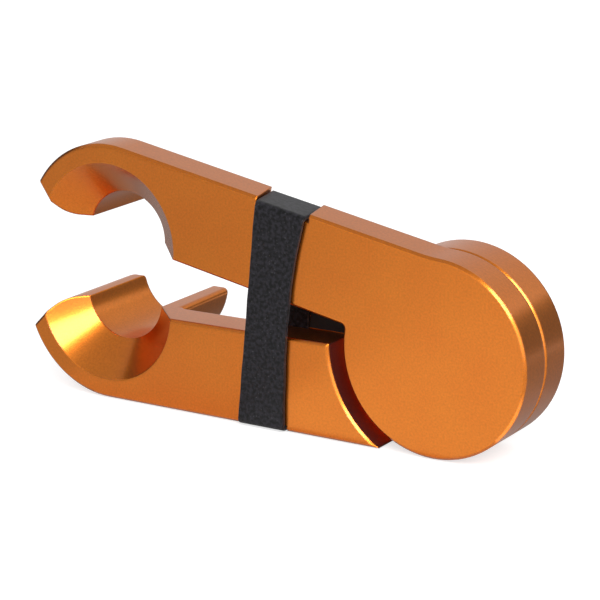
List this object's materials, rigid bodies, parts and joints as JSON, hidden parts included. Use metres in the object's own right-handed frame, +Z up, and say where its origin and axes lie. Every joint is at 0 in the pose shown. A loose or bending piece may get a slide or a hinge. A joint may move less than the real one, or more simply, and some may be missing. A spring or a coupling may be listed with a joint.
{
  "type": "quick-connect coupling release tool",
  "caption": "Scissor-type release tool for quick-connect line couplings: flat levers on a lap pivot, half-sleeve jaws with a flared front, and a rubber band round the arms.",
  "frame": {"origin": "centre of the bounding box footprint, at the height of the lower arm's straight outer edge, on which the tool stands", "axes": "+X from the jaws to the pivot, +Y from the flat front face to the rear ends of the half sleeves, +Z up from the lower lever to the upper lever"},
  "size_m": [0.0942, 0.0228, 0.0437],
  "materials": {
    "anodised_aluminium": "satin gold-orange anodising",
    "black_rubber": "matte",
    "screw_steel": "zinc plated",
    "bushing_bronze": "sintered bronze",
    "washer_nylon": "plain nylon",
    "spring_steel": "oil tempered"
  },
  "bodies": {
    "lower_lever": {"lower_lever": "anodised_aluminium", "pivot_bushing": "bushing_bronze", "thrust_washer": "washer_nylon", "torsion_spring": "spring_steel", "rubber_band": "black_rubber"},
    "upper_lever": {"upper_lever": "anodised_aluminium", "pivot_screw": "screw_steel", "spring_washer": "spring_steel"}
  },
  "joints": [
    {"name": "lever_pivot", "type": "hinge", "parent": "lower_lever", "child": "upper_lever", "pos_m": [0.03095, -0.01052, 0.01615], "axis": [0, 1, 0], "range_deg": [-11.3, 20], "stiffness_Nm_per_rad": 2, "deforming": ["rubber_band", "torsion_spring"]}
  ]
}
